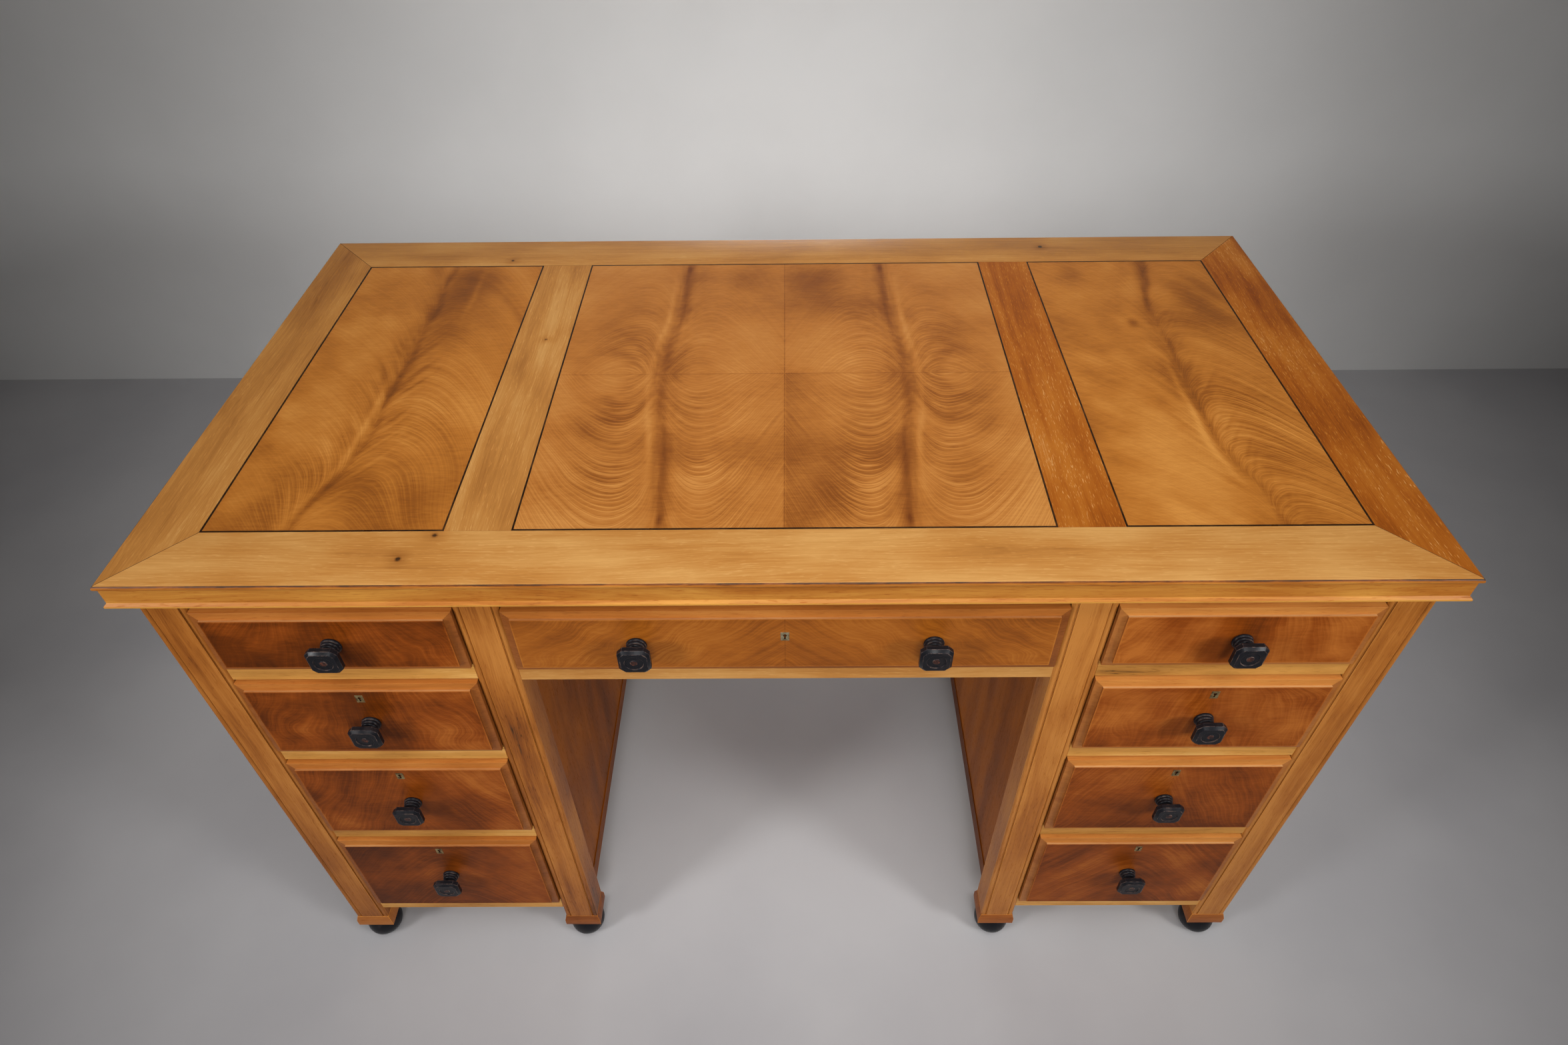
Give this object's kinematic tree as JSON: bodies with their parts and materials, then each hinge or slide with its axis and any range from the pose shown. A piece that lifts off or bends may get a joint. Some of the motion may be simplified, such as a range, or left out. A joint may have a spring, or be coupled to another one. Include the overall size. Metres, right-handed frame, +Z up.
{
  "type": "kneehole desk",
  "caption": "Kneehole desk with drawer pedestals, a drawer over the kneehole, turned clipped knobs, ball feet and a moulded top with figured veneer panels.",
  "frame": {"origin": "on the floor, under the middle of the whole desk with its knobs", "axes": "+X to the right along the desk's width seen from its front, +Y from the drawer fronts to the back, +Z up; the drawers open towards -Y"},
  "size_m": [1.27, 0.6848, 0.775],
  "materials": {
    "honey_walnut": "waxed",
    "crotch_veneer": "polished",
    "dark_walnut": "polished",
    "ebonised_wood": "satin",
    "pale_wood": "raw",
    "brass": "aged"
  },
  "bodies": {
    "carcass": {"back_apron": "dark_walnut", "back_panels": "dark_walnut", "back_posts": "honey_walnut", "ball_feet": "ebonised_wood", "bottom_rails": "dark_walnut", "centre_drawer_rails": "honey_walnut", "drawer_rails_left": "honey_walnut", "drawer_rails_right": "honey_walnut", "drawer_runners": "pale_wood", "end_panels": "dark_walnut", "foot_blocks": "honey_walnut", "front_posts": "honey_walnut", "kneehole_panels": "dark_walnut", "top_border": "honey_walnut", "top_centre_panel": "crotch_veneer", "top_core": "pale_wood", "top_cross_rails": "honey_walnut", "top_side_panels": "crotch_veneer", "top_stringing": "ebonised_wood"},
    "left_drawer_1": {"left_drawer_1_box": "pale_wood", "left_drawer_1_front": "dark_walnut", "left_drawer_1_knob": "ebonised_wood"},
    "left_drawer_2": {"left_drawer_2_box": "pale_wood", "left_drawer_2_front": "dark_walnut", "left_drawer_2_knob": "ebonised_wood", "left_drawer_2_lock": "brass"},
    "left_drawer_2_bolt": {"left_drawer_2_lock_bolt": "brass"},
    "left_drawer_3": {"left_drawer_3_box": "pale_wood", "left_drawer_3_front": "dark_walnut", "left_drawer_3_knob": "ebonised_wood", "left_drawer_3_lock": "brass"},
    "left_drawer_3_bolt": {"left_drawer_3_lock_bolt": "brass"},
    "left_drawer_4": {"left_drawer_4_box": "pale_wood", "left_drawer_4_front": "dark_walnut", "left_drawer_4_knob": "ebonised_wood", "left_drawer_4_lock": "brass"},
    "left_drawer_4_bolt": {"left_drawer_4_lock_bolt": "brass"},
    "centre_drawer": {"centre_drawer_box": "pale_wood", "centre_drawer_front": "dark_walnut", "centre_drawer_knobs": "ebonised_wood", "centre_drawer_lock": "brass"},
    "centre_drawer_bolt": {"centre_drawer_lock_bolt": "brass"},
    "right_drawer_1": {"right_drawer_1_box": "pale_wood", "right_drawer_1_front": "dark_walnut", "right_drawer_1_knob": "ebonised_wood"},
    "right_drawer_2": {"right_drawer_2_box": "pale_wood", "right_drawer_2_front": "dark_walnut", "right_drawer_2_knob": "ebonised_wood", "right_drawer_2_lock": "brass"},
    "right_drawer_2_bolt": {"right_drawer_2_lock_bolt": "brass"},
    "right_drawer_3": {"right_drawer_3_box": "pale_wood", "right_drawer_3_front": "dark_walnut", "right_drawer_3_knob": "ebonised_wood", "right_drawer_3_lock": "brass"},
    "right_drawer_3_bolt": {"right_drawer_3_lock_bolt": "brass"},
    "right_drawer_4": {"right_drawer_4_box": "pale_wood", "right_drawer_4_front": "dark_walnut", "right_drawer_4_knob": "ebonised_wood", "right_drawer_4_lock": "brass"},
    "right_drawer_4_bolt": {"right_drawer_4_lock_bolt": "brass"}
  },
  "joints": [
    {"name": "left_drawer_1_slide", "type": "slide", "parent": "carcass", "child": "left_drawer_1", "axis": [0, -1, 0], "range_m": [0, 0.4]},
    {"name": "left_drawer_2_slide", "type": "slide", "parent": "carcass", "child": "left_drawer_2", "axis": [0, -1, 0], "range_m": [0, 0.4]},
    {"name": "left_drawer_2_bolt_slide", "type": "slide", "parent": "left_drawer_2", "child": "left_drawer_2_bolt", "axis": [0, 0, 1], "range_m": [0, 0.007]},
    {"name": "left_drawer_3_slide", "type": "slide", "parent": "carcass", "child": "left_drawer_3", "axis": [0, -1, 0], "range_m": [0, 0.4]},
    {"name": "left_drawer_3_bolt_slide", "type": "slide", "parent": "left_drawer_3", "child": "left_drawer_3_bolt", "axis": [0, 0, 1], "range_m": [0, 0.007]},
    {"name": "left_drawer_4_slide", "type": "slide", "parent": "carcass", "child": "left_drawer_4", "axis": [0, -1, 0], "range_m": [0, 0.4]},
    {"name": "left_drawer_4_bolt_slide", "type": "slide", "parent": "left_drawer_4", "child": "left_drawer_4_bolt", "axis": [0, 0, 1], "range_m": [0, 0.007]},
    {"name": "centre_drawer_slide", "type": "slide", "parent": "carcass", "child": "centre_drawer", "axis": [0, -1, 0], "range_m": [0, 0.35]},
    {"name": "centre_drawer_bolt_slide", "type": "slide", "parent": "centre_drawer", "child": "centre_drawer_bolt", "axis": [0, 0, 1], "range_m": [0, 0.007]},
    {"name": "right_drawer_1_slide", "type": "slide", "parent": "carcass", "child": "right_drawer_1", "axis": [0, -1, 0], "range_m": [0, 0.4]},
    {"name": "right_drawer_2_slide", "type": "slide", "parent": "carcass", "child": "right_drawer_2", "axis": [0, -1, 0], "range_m": [0, 0.4]},
    {"name": "right_drawer_2_bolt_slide", "type": "slide", "parent": "right_drawer_2", "child": "right_drawer_2_bolt", "axis": [0, 0, 1], "range_m": [0, 0.007]},
    {"name": "right_drawer_3_slide", "type": "slide", "parent": "carcass", "child": "right_drawer_3", "axis": [0, -1, 0], "range_m": [0, 0.4]},
    {"name": "right_drawer_3_bolt_slide", "type": "slide", "parent": "right_drawer_3", "child": "right_drawer_3_bolt", "axis": [0, 0, 1], "range_m": [0, 0.007]},
    {"name": "right_drawer_4_slide", "type": "slide", "parent": "carcass", "child": "right_drawer_4", "axis": [0, -1, 0], "range_m": [0, 0.4]},
    {"name": "right_drawer_4_bolt_slide", "type": "slide", "parent": "right_drawer_4", "child": "right_drawer_4_bolt", "axis": [0, 0, 1], "range_m": [0, 0.007]}
  ]
}
